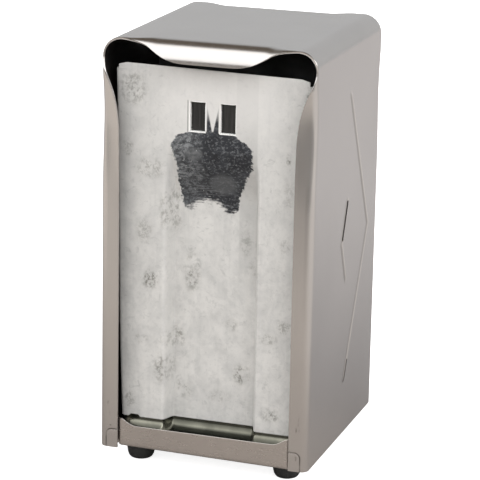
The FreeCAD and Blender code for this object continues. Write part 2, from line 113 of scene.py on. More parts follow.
def mesh_piece(name, points_mm, faces, material, body):
    """A smooth-shaded mesh object from points in millimetres, riding on a body."""
    mesh = bpy.data.meshes.new(name)
    mesh.from_pydata([Vector(p) * MM for p in points_mm], [], faces)
    mesh.validate()
    shape = bmesh.new()
    shape.from_mesh(mesh)
    bmesh.ops.recalc_face_normals(shape, faces=shape.faces)
    shape.to_mesh(mesh)
    shape.free()
    mesh.polygons.foreach_set("use_smooth", [True] * len(mesh.polygons))
    mesh.set_sharp_from_angle(angle=radians(50))
    mesh.materials.append(material)
    piece = add_object(name, mesh)
    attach(piece, body)
    return piece


def ring_surface(rings, skip=None):
    """Points and faces of a skin over closed rings of equal length, both ends closed.
    A ring is the outline of a thin sheet's section: one face out, the other face back."""
    size = len(rings[0])
    points = [p for ring in rings for p in ring]
    faces = []
    for i in range(len(rings) - 1):
        for j in range(size):
            if skip and skip(i, j):
                continue
            k = (j + 1) % size
            faces.append((i * size + j, i * size + k, (i + 1) * size + k, (i + 1) * size + j))
    half = size // 2
    for base, order in ((0, 1), ((len(rings) - 1) * size, -1)):
        for j in range(half - 1):
            quad = (base + j, base + size - 1 - j, base + size - 2 - j, base + j + 1)
            faces.append(quad[::order])
    return points, faces


EDGE_ROUND = 0.12
# Points that round one edge of a sheet; a ring has four such edges.
ROUND_POINTS = 3


def sheet_ring(stations, half_gauge, place, rounding=EDGE_ROUND):
    """One ring: place(t, n) maps a station t and a height n off the middle surface."""
    first, last = stations[0], stations[-1]
    arc = [(rounding * (1 - cos(a)), rounding * (1 - sin(a)))
           for a in steps(QUARTER, 0.0, ROUND_POINTS)]
    inner = stations[1:-1]
    ring = [place(t, half_gauge) for t in inner]
    ring += [place(last - rounding + d, half_gauge - drop) for d, drop in arc]
    ring += [place(last - rounding + d, drop - half_gauge) for d, drop in arc[::-1]]
    ring += [place(t, -half_gauge) for t in inner[::-1]]
    ring += [place(first + rounding - d, drop - half_gauge) for d, drop in arc]
    ring += [place(first + rounding - d, half_gauge - drop) for d, drop in arc[::-1]]
    return ring[-ROUND_POINTS:] + ring[:-ROUND_POINTS]


# ---- materials
class Tree:
    """A node tree, with short calls for the nodes that materials and the world share."""

    def __init__(self, tree):
        self.tree = tree

    def add(self, kind, **settings):
        """A new node; kind is its type without the common prefix."""
        node = self.tree.nodes.new("ShaderNode" + kind)
        for key, value in settings.items():
            setattr(node, key, value)
        return node

    def link(self, source, target):
        if isinstance(source, (int, float)):
            target.default_value = source
        else:
            self.tree.links.new(source, target)

    def math(self, operation, a, b=0.0):
        node = self.add("Math", operation=operation)
        for value, socket in zip((a, b), node.inputs):
            self.link(value, socket)
        return node.outputs[0]

    def vector(self, operation, a, b=(0, 0, 0)):
        """Outputs of a vector sum; b is a fixed vector."""
        node = self.add("VectorMath", operation=operation)
        self.link(a, node.inputs[0])
        node.inputs[1].default_value = b
        return node.outputs

    def times(self, a, b):
        return self.math("MULTIPLY", a, b)

    def plus(self, a, b):
        return self.math("ADD", a, b)

    def minus(self, a, b):
        return self.math("SUBTRACT", a, b)

    def absolute(self, a):
        return self.math("ABSOLUTE", a)

    def band(self, value, middle, far, near, *levels):
        """1 (or the second level) close to a middle value, 0 far from it."""
        return self.remap(self.absolute(self.minus(value, middle)), far, near, *levels)

    def remap(self, value, low, high, to_low=0.0, to_high=1.0, kind="SMOOTHSTEP"):
        node = self.add("MapRange", interpolation_type=kind)
        self.link(value, node.inputs["Value"])
        for name, number in (("From Min", low), ("From Max", high),
                             ("To Min", to_low), ("To Max", to_high)):
            node.inputs[name].default_value = number
        return node.outputs["Result"]

    def mix(self, amount, first, second):
        """Colour mix; first and second are colours or sockets."""
        node = self.add("Mix", data_type="RGBA")
        self.link(amount, node.inputs["Factor"])
        for value, socket in ((first, node.inputs[6]), (second, node.inputs[7])):
            if isinstance(value, tuple):
                socket.default_value = value + (1.0,)
            else:
                self.tree.links.new(value, socket)
        return node.outputs[2]

    def axes(self):
        node = self.add("SeparateXYZ")
        self.tree.links.new(self.coords, node.inputs[0])
        return node.outputs


class Nodes(Tree):
    """A material's node tree."""

    def __init__(self, name):
        self.material = bpy.data.materials.new(name)
        self.material.use_nodes = True
        super().__init__(self.material.node_tree)
        self.shader = self.tree.nodes["Principled BSDF"]
        self.coords = self.add("TexCoord").outputs["Object"]

    def scaled(self, sx, sy, sz):
        """Object coordinates stretched, in units of one metre."""
        node = self.add("Mapping")
        node.inputs["Scale"].default_value = (sx, sy, sz)
        self.tree.links.new(self.coords, node.inputs["Vector"])
        return node.outputs["Vector"]

    def noise(self, scale, detail=3.0, stretch=(1, 1, 1), rough=0.55, distortion=0.0):
        node = self.add("TexNoise")
        node.inputs["Scale"].default_value = scale
        node.inputs["Detail"].default_value = detail
        node.inputs["Roughness"].default_value = rough
        node.inputs["Distortion"].default_value = distortion
        self.tree.links.new(self.scaled(*stretch), node.inputs["Vector"])
        return node.outputs["Fac"]

    def cells(self, scale, stretch=(1, 1, 1)):
        node = self.add("TexVoronoi")
        node.inputs["Scale"].default_value = scale
        self.tree.links.new(self.scaled(*stretch), node.inputs["Vector"])
        return node

    def bump(self, height, depth_mm):
        node = self.add("Bump")
        node.inputs["Strength"].default_value = 1.0
        node.inputs["Distance"].default_value = depth_mm * MM
        self.link(height, node.inputs["Height"])
        self.tree.links.new(node.outputs["Normal"], self.shader.inputs["Normal"])

    def color(self, source):
        self.tree.links.new(source, self.shader.inputs["Base Color"])

    def roughness(self, source):
        self.link(source, self.shader.inputs["Roughness"])

    def metal(self, amount=1.0):
        self.shader.inputs["Metallic"].default_value = amount


def marked_spots(n, spots):
    """1 in the middle of each (x, z, half width, half height) spot, fading to 0."""
    x, _, z = n.axes()
    total = 0.0
    for spot_x, spot_z, half_x, half_z in spots:
        across = n.times(n.minus(x, spot_x * MM), 1 / (half_x * MM))
        up = n.times(n.minus(z, spot_z * MM), 1 / (half_z * MM))
        reach = n.plus(n.times(across, across), n.times(up, up))
        total = n.math("MAXIMUM", total, n.remap(reach, 1.2, 0.3))
    return total


# The tray's corner tab, seen through the flange foot: its corner's round and centre.
TAB_ROUND = 2.6
TAB_X, TAB_Z = 44.4 - TAB_ROUND, 17.0 - TAB_ROUND


def tab_line(n):
    """1 on the outline of the tray's corner tabs, on the front and rear flanges."""
    x, y, z = n.axes()
    beside = n.math("MAXIMUM", n.minus(n.absolute(x), TAB_X * MM), 0.0)
    above = n.math("MAXIMUM", n.minus(z, TAB_Z * MM), 0.0)
    reach = n.math("SQRT", n.plus(n.times(beside, beside), n.times(above, above)))
    off = n.absolute(n.minus(reach, TAB_ROUND * MM))
    line = n.remap(off, 0.42 * MM, 0.12 * MM)
    return n.times(line, n.remap(n.absolute(y), 50.0 * MM, 50.4 * MM))


def shell_marks(n, tone):
    """Tab outlines and small rubbed marks on the flanges."""
    rub = n.remap(n.noise(430.0, 4.0, (1, 1, 0.35), 0.6, 0.6), 0.50, 0.62)
    marks = n.times(rub, marked_spots(n, FLANGE_MARKS))
    tone = n.mix(n.times(marks, 0.75), tone, (0.10, 0.095, 0.09))
    broken = n.remap(n.noise(160.0, 2.0), 0.35, 0.60, 0.35, 0.85)
    return n.mix(n.times(tab_line(n), broken), tone, (0.10, 0.09, 0.085))


# The pressed chevrons of each side: Y at the ends and the tip, and half the rise.
RIB_MID = 98.5
OUTER_RIB = {"ends": 1.6, "tip": 34.6, "rise": 66.0}
INNER_RIB = {"ends": 1.6, "tip": -6.4, "rise": 19.0}


def rib_painted_light(n, tone):
    """The chevrons' crests are painted paler as a highlight, and a painted shadow lies along their
    front edges.
    """
    x, y, z = n.axes()
    on_side = n.remap(n.absolute(x), 46.6 * MM, 47.2 * MM)
    from_mid = n.absolute(n.minus(n.times(z, 1 / MM), RIB_MID))
    for rib in (OUTER_RIB, INNER_RIB):
        u = n.times(from_mid, 1 / rib["rise"])
        line = n.plus(n.times(u, rib["ends"] - rib["tip"]), rib["tip"])
        off = n.minus(n.times(y, 1 / MM), line)
        there = n.times(on_side, n.remap(u, 1.02, 0.96))
        # painted highlight along each crest, painted shadow along its front edge
        rib_highlight = n.band(off, 0.6, 1.5, 0.4, 0.0, 0.85)
        rib_shadow = n.band(off, -1.6, 1.1, 0.3, 0.0, 0.50)
        tone = n.mix(n.times(rib_highlight, there), tone, (0.84, 0.79, 0.72))
        tone = n.mix(n.times(rib_shadow, there), tone, (0.30, 0.28, 0.26))
    return tone


# Rubbed marks on the flanges: x, z, half width, half height.
FLANGE_MARKS = [(43.1, 27.4, 0.9, 3.8), (43.8, 31.2, 0.6, 2.6), (-43.1, 30.1, 0.8, 3.0),
                (-42.6, 24.5, 0.4, 1.4), (42.6, 15.0, 0.5, 1.8), (-43.4, 18.6, 1.8, 0.5)]


def satin_stainless(name, tone, grain, rough, marked=False, depth_mm=0.0003):
    """Fine-grained stainless sheet. Grain is the stretch of the rolling lines."""
    n = Nodes(name)
    n.metal()
    lines = n.noise(700.0, 3.0, grain)
    cloud = n.noise(16.0, 3.0)
    rubbed = n.remap(n.noise(55.0, 4.0, (1, 1, 0.6)), 0.60, 0.74)
    pale = tuple(min(1.0, c * 1.025) for c in tone)
    dark = tuple(c * 0.965 for c in tone)
    satin = n.mix(n.remap(cloud, 0.35, 0.65), dark, pale)
    satin = n.mix(n.times(rubbed, 0.10), satin, tuple(c * 0.8 for c in tone))
    # A marked sheet gets the chevrons' painted highlight and shadow, the tab outlines and rubbed
    # marks.
    n.color(shell_marks(n, rib_painted_light(n, satin)) if marked else satin)
    n.roughness(n.remap(lines, 0.25, 0.75, rough, rough + 0.04, "LINEAR"))
    n.bump(lines, depth_mm)
    return n.material


def local_plate_axes(n):
    """Across and height on a plate in millimetres; both plates read the same way."""
    x, y, z = n.axes()
    facing = n.times(n.math("SIGN", y), -1 / MM)
    return n.times(x, facing), n.times(z, 1 / MM)


def profile(n, value, points):
    """A line through (value, result) points, as a float curve."""
    low, high = points[0][0], points[-1][0]
    least = min(r for _, r in points)
    most = max(r for _, r in points)
    node = n.add("FloatCurve")
    curve = node.mapping.curves[0]
    spots = [((v - low) / (high - low), (r - least) / (most - least)) for v, r in points]
    curve.points[0].location = spots[0]
    curve.points[1].location = spots[-1]
    for spot in spots[1:-1]:
        curve.points.new(*spot)
    for point in curve.points:
        point.handle_type = "VECTOR"
    node.mapping.update()
    n.link(n.remap(value, low, high, 0.0, 1.0, "LINEAR"), node.inputs["Value"])
    return n.remap(node.outputs["Value"], 0.0, 1.0, least, most, "LINEAR")


# Outline of the dark patch below the windows, a painted dark reflection, in millimetres on the plate.
PATCH_LEFT = [(113.5, -12.5), (116.5, -14.6), (128.5, -16.2), (139.5, -17.2), (143.0, -18.5),
              (145.5, -18.7), (149.5, -15.9), (151.5, -9.0)]
PATCH_RIGHT = [(113.5, 7.0), (117.0, 9.4), (123.0, 11.0), (130.0, 13.8), (137.0, 17.2),
               (142.5, 18.1), (145.5, 17.6), (148.0, 15.0), (149.5, 12.2), (151.5, 9.6)]
PATCH_BOTTOM = [(-15.0, 115.5), (-13.0, 115.3), (-10.3, 116.9), (-7.2, 118.9), (-3.7, 120.1),
                (0.4, 119.2), (3.6, 116.7), (5.8, 114.6), (9.5, 114.6)]


def dark_reflection_mask(n, across, height):
    """1 inside the dark patch, a painted dark reflection, and its tongue between the windows, with
    ragged edges.
    """
    fine = n.minus(n.noise(760.0, 3.0), 0.5)
    coarse = n.minus(n.noise(150.0, 3.0), 0.5)
    ragged = n.plus(n.times(fine, 3.6), n.times(coarse, 2.2))
    streaks = n.times(n.minus(n.noise(1.0, 3.0, (260, 260, 1500)), 0.5), 9.0)
    from_left = n.minus(across, profile(n, height, PATCH_LEFT))
    from_right = n.minus(profile(n, height, PATCH_RIGHT), across)
    from_top = n.minus(151.9, height)
    sides = n.math("MINIMUM", n.math("MINIMUM", from_left, from_right), from_top)
    inside = n.remap(n.plus(sides, ragged), -0.3, 0.5)
    above = n.minus(height, profile(n, across, PATCH_BOTTOM))
    over_arc = n.remap(n.plus(above, n.plus(ragged, streaks)), -0.6, 2.4)
    patch = n.times(inside, over_arc)
    aside = n.absolute(across)
    tongue_edge = n.plus(n.times(n.minus(height, 152.6), 0.21), 0.3)
    beside = n.remap(n.minus(aside, tongue_edge), -0.10, 0.35)
    between = n.remap(aside, 2.75, 2.45)
    low = n.remap(height, 163.0, 156.0, 0.0, 1.0, "LINEAR")
    started = n.remap(height, 151.0, 151.6)
    for factor in (between, low, started):
        beside = n.times(beside, factor)
    return n.math("MAXIMUM", patch, beside)


# Smoother, paler blotches inside the patch: x, z, half width, half height.
PATCH_BLOTCHES = [(-8.5, 141.5, 4.6, 3.6), (3.6, 128.3, 7.0, 5.4)]


def dark_reflection_tone(n, across, height):
    """Colour of the patch, a painted dark reflection: near-black speckle, paler to the left, streaked
    lower down, with painted pale glints.
    """
    cloud = n.noise(120.0, 4.0, (1, 1, 1.3), 0.62, 0.8)
    grain = n.remap(n.noise(900.0, 2.0, (1, 1, 1.2), 0.6), 0.50, 0.64)
    lines = n.remap(n.noise(1.0, 3.0, (300, 300, 1500)), 0.48, 0.62)
    dark_reflection = n.mix(n.remap(cloud, 0.36, 0.66), (0.009, 0.010, 0.014), (0.034, 0.038, 0.046))
    wander = n.times(n.minus(cloud, 0.5), 12.0)
    leftward = n.times(n.remap(n.plus(across, wander), -3.0, -11.0, 0.0, 0.80),
                       n.remap(height, 121.0, 138.0, 0.40, 1.0))
    mottled = n.remap(n.noise(300.0, 4.0, (1, 1, 1.3), 0.7), 0.42, 0.58, 0.25, 1.0)
    dark_reflection = n.mix(n.times(leftward, mottled), dark_reflection, (0.290, 0.302, 0.312))
    dark_reflection = n.mix(n.times(grain, 0.60), dark_reflection, (0.170, 0.178, 0.186))
    pits = n.remap(n.noise(640.0, 4.0, (1, 1, 1.4), 0.7), 0.47, 0.62, 0.0, 0.72)
    dark_reflection = n.mix(pits, dark_reflection, (0.016, 0.018, 0.022))
    dark_reflection = n.mix(n.times(lines, n.remap(height, 146.0, 130.0, 0.10, 0.50)), dark_reflection,
                 (0.014, 0.016, 0.020))
    blotch = n.times(marked_spots(n, PATCH_BLOTCHES), 0.55)
    dark_reflection = n.mix(blotch, dark_reflection, (0.120, 0.125, 0.130))
    scratch = n.remap(n.noise(1.0, 4.0, (85, 85, 1700)), 0.54, 0.68)
    low_patch = n.remap(height, 137.0, 119.0, 0.04, 0.80)
    dark_reflection = n.mix(n.times(scratch, low_patch), dark_reflection, (0.17, 0.175, 0.18))
    # painted pale glints scattered over the patch
    painted_glints = n.remap(n.noise(800.0, 2.0), 0.70, 0.75)
    return n.mix(n.times(painted_glints, 0.6), dark_reflection, (0.60, 0.61, 0.60))


# The two windows: how far from the middle, and how high, each reaches.
WINDOW_X = (3.2, 10.3)
WINDOW_Z = (151.3, 164.4)


def past_span(n, value, span):
    """How far a value lies outside a span; negative inside it."""
    middle = (span[0] + span[1]) / 2
    return n.minus(n.absolute(n.minus(value, middle)), (span[1] - span[0]) / 2)


def window_rim_highlights(n, across, height, tone):
    """Painted highlights on the folded rims round the two windows, fainter at the outer right and the
    top, where they lie in shade, and a thin dark line beside the left one.
    """
    off_x = past_span(n, n.absolute(across), WINDOW_X)
    off_z = past_span(n, height, WINDOW_Z)
    reach = n.math("MAXIMUM", off_x, off_z)
    # painted highlight on the rims, fainter at the outer right and the top where they lie in shade
    rim = n.remap(reach, 0.27, 0.06)
    outer_right = n.remap(across, 9.8, 10.6, 1.0, 0.25)
    top = n.remap(height, 164.2, 164.8, 1.0, 0.45)
    strength = n.times(outer_right, top)
    tone = n.mix(n.times(rim, strength), tone, (0.94, 0.94, 0.92))
    beside = n.band(across, -11.15, 0.30, 0.10)
    level = n.remap(off_z, 0.8, 0.0)
    return n.mix(n.times(n.times(beside, level), 0.6), tone, (0.08, 0.08, 0.08))


# Handling marks: across, height, half width, half height, strength.
SMUDGES = [(-19.1, 116, 4.6, 11, 0.75), (-30.5, 106, 4.0, 6, 0.55), (-27.6, 84.5, 4.2, 4.6, 1.0),
           (-10.3, 88, 4.0, 10, 0.85), (14.1, 103, 3.2, 6, 0.6), (33.8, 143.4, 1.3, 3.0, 1.0),
           (34.1, 128, 3.0, 7, 0.3), (33.0, 105.3, 2.4, 3.0, 0.45), (18.0, 91.5, 3.6, 3.4, 0.45),
           (-17.6, 58, 4.8, 5.4, 0.8), (-21.6, 44.6, 4.2, 7.6, 0.8), (-13.2, 35, 4.4, 5.0, 0.65),
           (12.7, 44, 4.2, 4.8, 0.95), (7.7, 66, 3.0, 3.2, 0.5), (26.5, 63.5, 4.6, 2.6, 0.6),
           (33.4, 70, 3.6, 3.8, 0.65), (28.1, 29.5, 4.4, 3.6, 0.85), (-36.7, 28.6, 3.2, 4.6, 0.6),
           (-31.4, 57.5, 3.4, 2.6, 0.5), (-27.6, 134, 8.0, 5.0, 0.55), (-38.1, 142, 3.0, 4.5, 0.6),
           (41.6, 170.5, 1.1, 4.5, 1.0), (-36.0, 168, 7.0, 8.0, 0.65), (3.0, 33, 6.0, 3.5, 0.35)]


def smudge_mask(n, across, height):
    """Speckled grey marks where the sheet has been handled."""
    place = n.add("CombineXYZ")
    n.link(across, place.inputs[0])
    n.link(height, place.inputs[2])
    total = 0.0
    for x, z, half_x, half_z, strength in SMUDGES:
        offset = n.vector("SUBTRACT", place.outputs[0], (x, 0, z))[0]
        shaped = n.vector("MULTIPLY", offset, (1 / half_x, 0, 1 / half_z))[0]
        reach = n.vector("LENGTH", shaped)["Value"]
        total = n.math("MAXIMUM", total, n.remap(reach, 1.2, 0.45, 0.0, strength))
    speckle = n.remap(n.noise(560.0, 5.0, (1, 1, 0.8), 0.8), 0.45, 0.58, 0.12, 1.0)
    lumps = n.remap(n.noise(210.0, 2.0), 0.30, 0.52)
    return n.times(total, n.times(speckle, lumps))


FOOT_LINE = 21.4
WALL_MID = 19.9


# Painted highlight and shade of the foot bend against height, beside the channel and in it.
FOOT_PAINTED_BESIDE = [(14.0, 0.20), (17.3, 0.26), (18.3, 0.50), (19.2, 1.0), (19.8, 0.80), (20.5, 0.36),
                (22.5, 0.30)]
FOOT_PAINTED_CHANNEL = [(14.0, 0.07), (16.2, 0.09), (17.3, 0.20), (18.1, 0.75), (18.7, 0.55), (19.6, 0.32),
                 (22.5, 0.30)]


def foot_painted_light(n, across, height):
    """Shiny bare metal of the foot bend, its colour painted with shade at the edges and a pale olive
    highlight in the middle.
    """
    channel = n.band(across, -0.6, 20.9, 17.6)
    beside = profile(n, height, FOOT_PAINTED_BESIDE)
    inside = profile(n, height, FOOT_PAINTED_CHANNEL)
    shine = n.plus(n.times(beside, n.minus(1.0, channel)),
                   n.times(inside, channel))
    # painted highlight over the channel's left wall, low on the foot
    bridge = n.band(across, -WALL_MID, 2.6, 1.0, 0.0, 0.85)
    bridge = n.times(bridge, n.remap(height, 20.6, 19.4))
    shine = n.math("MAXIMUM", shine, bridge)
    patchy = n.remap(n.noise(110.0, 3.0, (1, 1, 0.4)), 0.3, 0.7, 0.62, 1.0)
    return n.mix(n.times(shine, patchy), (0.008, 0.010, 0.007), (0.255, 0.25, 0.205))


def galvanised_sheet():
    """Zinc-coated sheet: pale, faintly spangled, with grey handling marks, painted light and shade by
    the channel and towards the top, a painted dark reflection below the windows, painted highlights
    on the window rims and a shiny bare foot bend with painted highlight and shade."""
    n = Nodes("galvanised_sheet")
    across, height = local_plate_axes(n)
    spangle = n.cells(230.0, (1, 1, 0.8))
    crystal = n.add("SeparateColor")
    n.link(spangle.outputs["Color"], crystal.inputs[0])
    cloud = n.noise(110.0, 6.0, (1, 1, 0.9), 0.72, 0.4)
    tone = n.mix(n.remap(cloud, 0.36, 0.68), (0.655, 0.645, 0.622), (0.548, 0.542, 0.526))
    mottle = n.remap(n.noise(420.0, 4.0, (1, 1, 1), 0.6), 0.48, 0.68)
    tone = n.mix(n.times(mottle, 0.30), tone, (0.43, 0.428, 0.418))
    # Painted light: the sheet is lighter towards the top.
    tone = n.mix(n.remap(height, 60.0, 165.0, 0.0, 0.35), tone, (0.72, 0.712, 0.692))
    tone = n.mix(n.times(crystal.outputs[0], 0.16), tone, (0.46, 0.465, 0.46))
    brushed = n.remap(n.noise(1.0, 4.0, (420, 420, 26)), 0.50, 0.74)
    tone = n.mix(n.times(brushed, 0.20), tone, (0.42, 0.425, 0.42))
    scuffs = n.remap(n.noise(260.0, 4.0, (1, 1, 1), 0.65, 1.4), 0.56, 0.72)
    tone = n.mix(n.times(scuffs, 0.36), tone, (0.30, 0.305, 0.30))
    tone = n.mix(n.times(smudge_mask(n, across, height), 0.85), tone, (0.16, 0.155, 0.135))
    # Painted shadow: a grey band on the channel floor beside its right wall, fading out lower down.
    right_wall_shadow = n.times(n.remap(across, 10.0, 10.9), n.remap(across, 20.4, 19.7))
    fading = n.remap(height, 75.0, 112.0, 0.0, 0.34)
    tone = n.mix(n.times(right_wall_shadow, fading), tone, (0.36, 0.36, 0.35))
    # Painted light: the channel's left wall is lightened to offset its shade.
    left_wall = n.times(n.band(across, -WALL_MID, 2.5, 0.5),
                        n.remap(height, 138.0, 118.0, 0.0, 0.22))
    tone = n.mix(left_wall, tone, (0.80, 0.79, 0.765))
    # Painted light: the upper middle of the plate is lighter still.
    bright = n.times(n.remap(height, 138.0, 168.0, 0.0, 0.6),
                     n.band(across, 4.0, 36.0, 14.0))
    tone = n.mix(bright, tone, (0.80, 0.785, 0.765))
    # The dark patch below the windows is a painted dark reflection.
    tone = n.mix(dark_reflection_mask(n, across, height), tone, dark_reflection_tone(n, across, height))
    tone = window_rim_highlights(n, across, height, tone)
    # The foot bend takes its painted highlight and shade below the foot line, which rises into a
    # small notch near the left corner.
    notch = n.band(across, -34.2, 2.9, 1.5, 0.0, 1.0)
    foot = n.remap(n.minus(n.plus(notch, FOOT_LINE), height), -0.1, 0.5)
    n.color(n.mix(foot, tone, foot_painted_light(n, across, height)))
    n.roughness(n.remap(foot, 0.0, 1.0, 0.50, 0.20, "LINEAR"))
    n.link(n.remap(foot, 0.0, 1.0, 0.12, 0.95, "LINEAR"), n.shader.inputs["Metallic"])
    n.bump(n.noise(330.0, 4.0), 0.012)
    return n.material


def dark_spring():
    n = Nodes("dark_spring_strip")
    n.metal(0.6)
    lines = n.noise(1.0, 3.0, (1600, 1600, 60))
    n.color(n.mix(n.remap(lines, 0.3, 0.7), (0.026, 0.0255, 0.025), (0.050, 0.049, 0.047)))
    n.roughness(n.remap(lines, 0.3, 0.7, 0.38, 0.55, "LINEAR"))
    n.bump(lines, 0.01)
    return n.material


def dull_steel(name, dark, light):
    n = Nodes(name)
    n.metal(0.8)
    cloud = n.noise(60.0, 4.0)
    n.color(n.mix(n.remap(cloud, 0.3, 0.7), dark, light))
    n.roughness(n.remap(cloud, 0.3, 0.7, 0.42, 0.6, "LINEAR"))
    n.bump(n.noise(500.0, 3.0), 0.01)
    return n.material


def black_rubber():
    n = Nodes("black_rubber")
    cloud = n.noise(90.0, 4.0)
    n.color(n.mix(cloud, (0.012, 0.013, 0.013), (0.035, 0.037, 0.036)))
    n.roughness(n.remap(cloud, 0.3, 0.7, 0.5, 0.72, "LINEAR"))
    n.bump(n.noise(700.0, 3.0), 0.03)
    return n.material


SHELL_STEEL = satin_stainless("stainless_shell_sheet", (0.57, 0.545, 0.525), (1, 1, 0.03), 0.21,
                              marked=True)
# The wrap's inner side is painted dark for the shade inside the housing.
SHELL_INSIDE_SHADE = satin_stainless("stainless_shell_inside_painted_shade", (0.16, 0.15, 0.145), (1, 1, 0.03), 0.34)
TRAY_STEEL = satin_stainless("stainless_tray_sheet", (0.54, 0.50, 0.47), (0.2, 1, 1), 0.26,
                             depth_mm=0.00008)
PLATE_ZINC = galvanised_sheet()
SPRING_STEEL = dark_spring()
# Divider and slide track are painted dark for the shade inside the housing.
INNER_STEEL_SHADE = dull_steel("inner_steel_painted_shade", (0.05, 0.05, 0.05), (0.09, 0.09, 0.09))
RIVET_STEEL = dull_steel("rivet_steel", (0.28, 0.28, 0.28), (0.45, 0.45, 0.45))
RUBBER = black_rubber()


# ---- housing shell
def box_mm(node):
    low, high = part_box(node)
    return low / MM, high / MM


# The pan is drawn this much lower than its CAD solid.
TRAY_DROP = 0.5
TRAY_LOW, TRAY_HIGH = box_mm("base_tray")
TRAY_LOW.z -= TRAY_DROP
SHELL_LOW, SHELL_HIGH = box_mm("housing_shell")
FLOOR_Z = SHELL_LOW.z
TOP_Z = SHELL_HIGH.z
HALF_DEPTH = SHELL_HIGH.y
GAUGE = 0.8
HALF_GAUGE = GAUGE / 2
HALF_WIDTH = TRAY_HIGH.x + GAUGE
CORNER = 8.5
BEND = 3.5
LIP_BEND = 9.0

# How far the sheet runs past the start of its end bends, measured on the flat sheet.
FLANGE_RUN = [(FLOOR_Z, 9.7), (151.0, 9.7), (156.5, 9.35), (162.0, 8.5), (167.2, 7.05),
              (171.2, 5.4), (174.2, 4.0), (177.2, 2.4), (180.0, 1.4), (182.0, 1.0)]
LIP_RUN = [(0.0, 13.6), (12.5, 13.5), (16.0, 13.0), (19.0, 12.1), (22.0, 10.7), (25.0, 8.8),
           (28.0, 5.9), (30.5, 3.9), (33.0, 2.4), (36.0, 1.5), (39.0, 1.0)]
EDGE_RUN = 1.0
# Where the flanges start to open out and where the lip's large radius gives way.
SLACK_START, SLACK_END, SLACK_ANGLE = 122.0, 166.0, radians(20)
LIP_START, LIP_END = 24.0, 35.0

RIB_RISE = 0.42
RIB_HALF = 1.8
# Open slits along the chevrons: which rib, from which height to which, half width.
INNER_SLIT = ("inner", (RIB_MID + 1.5, RIB_MID + 18.0), 0.6)
OUTER_SLIT = ("outer", (RIB_MID - 65.5, RIB_MID - 56.0), 0.4)
CLUSTER = [-1.3, -1, -0.8, -0.6, -0.4, -0.2, 0, 0.2, 0.4, 0.6, 0.8, 1, 1.3]
TAB_RISE = 0.16


def rib_line(rib, z):
    """Y of a chevron's centre line at height z; it stays put past the ends."""
    u = clamp(abs(z - RIB_MID) / rib["rise"])
    return rib["tip"] + (rib["ends"] - rib["tip"]) * u


def rib_height(rib, y, z):
    beyond = rib["rise"] - abs(z - RIB_MID)
    away = abs(y - rib_line(rib, z)) / RIB_HALF
    if beyond < 0 or away > 1:
        return 0.0
    return RIB_RISE * smooth(beyond / 2.0) * (0.5 + 0.5 * cos(pi * away))


def tab_height(x, z):
    """The tray's corner tab shows through the flange foot as a faint rounded outline."""
    dx = max(abs(x) - TAB_X, 0.0)
    dz = max(z - TAB_Z, 0.0)
    off = TAB_ROUND - hypot(dx, dz)
    return -TAB_RISE * exp(-(off / 0.45) ** 2)


def end_bend(kind, where, run):
    """Outer radius, angle and start of a section's end bends. The flanges are bent a
    little short of square near the top, and the lip is rolled on a large radius."""
    if kind == "top":
        blend = smooth((abs(where) - LIP_START) / (LIP_END - LIP_START))
        radius = LIP_BEND + (BEND - LIP_BEND) * blend
        angle = QUARTER
    else:
        radius = BEND
        slack = smooth((where - SLACK_START) / (SLACK_END - SLACK_START)) if kind == "side" else 1.0
        angle = QUARTER - SLACK_ANGLE * slack
    past = max(0.0, run - (radius - HALF_GAUGE) * angle)
    reach = radius * sin(angle) + past * cos(angle)
    return radius, angle, HALF_DEPTH - reach


MAKE_ROOM = 0.2
BEND_STEPS = 26
# Stations behind the inner chevron, between the two, and before the outer one; the
# first and last of each row belong to its neighbours.
BEHIND, BETWEEN, BEFORE = 14, 8, 12
# Where each chevron's stations start among the inner stations of a section.
INNER_START = BEND_STEPS + 1 + BEHIND - 2
CLUSTER_START = {"inner": INNER_START, "outer": INNER_START + len(CLUSTER) + BETWEEN - 2}


def shell_columns(run, flat, z):
    """Stations along the depth: end bends, then the flat side with extra stations
    that follow the two chevrons; past its ends the inner set makes room for the outer."""
    bend = [flat + (run - EDGE_ROUND) * f / BEND_STEPS for f in range(BEND_STEPS + 1)]
    bend.append(flat + run)
    aside = MAKE_ROOM * max(0.0, abs(z - RIB_MID) - INNER_RIB["rise"])
    inner = [rib_line(INNER_RIB, z) - aside + RIB_HALF * c for c in CLUSTER]
    outer = [rib_line(OUTER_RIB, z) + RIB_HALF * c for c in CLUSTER]
    middle = steps(-flat, inner[0], BEHIND)[1:-1] + inner
    middle += steps(inner[-1], outer[0], BETWEEN)[1:-1] + outer
    middle += steps(outer[-1], flat, BEFORE)[1:-1]
    return [-t for t in bend[::-1]] + middle + bend


def bend_spot(t, n, shape):
    """Where a flat-sheet station lands: (distance in from the sheet's outer plane,
    place along the depth)."""
    radius, angle, flat = shape
    middle = radius - HALF_GAUGE
    beyond = abs(t) - flat
    side = 1 if t > 0 else -1
    if beyond <= 0:
        return HALF_GAUGE - n, t
    turned = min(beyond / middle, angle)
    past = beyond - middle * turned
    inset = radius - (middle + n) * cos(turned) + past * sin(turned)
    return inset, side * (flat + (middle + n) * sin(turned) + past * cos(turned))


